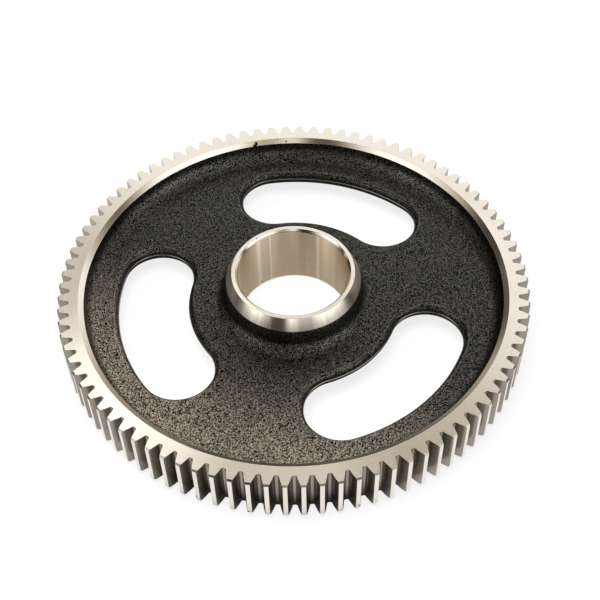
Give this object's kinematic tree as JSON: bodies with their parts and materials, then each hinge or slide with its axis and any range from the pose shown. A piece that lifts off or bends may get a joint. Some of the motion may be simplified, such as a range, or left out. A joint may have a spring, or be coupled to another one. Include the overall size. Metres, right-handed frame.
{
  "type": "idler gear",
  "caption": "One-piece spur idler gear: black forged web with kidney-shaped windows, bright toothed rim and a turned hub with a plain through bore.",
  "frame": {"origin": "on the bore's axis, at the hub's lower face, which the gear rests on", "axes": "+Z along the bore's axis, towards the long end of the hub; X and Y lie in the plane of the wheel"},
  "size_m": [0.23, 0.23, 0.035],
  "materials": {
    "gear_steel": "turned and hobbed bright steel on teeth, rim, hub and bore; black forging skin on web and boss"
  },
  "bodies": {
    "root": {"idler_gear": "gear_steel"}
  },
  "joints": []
}
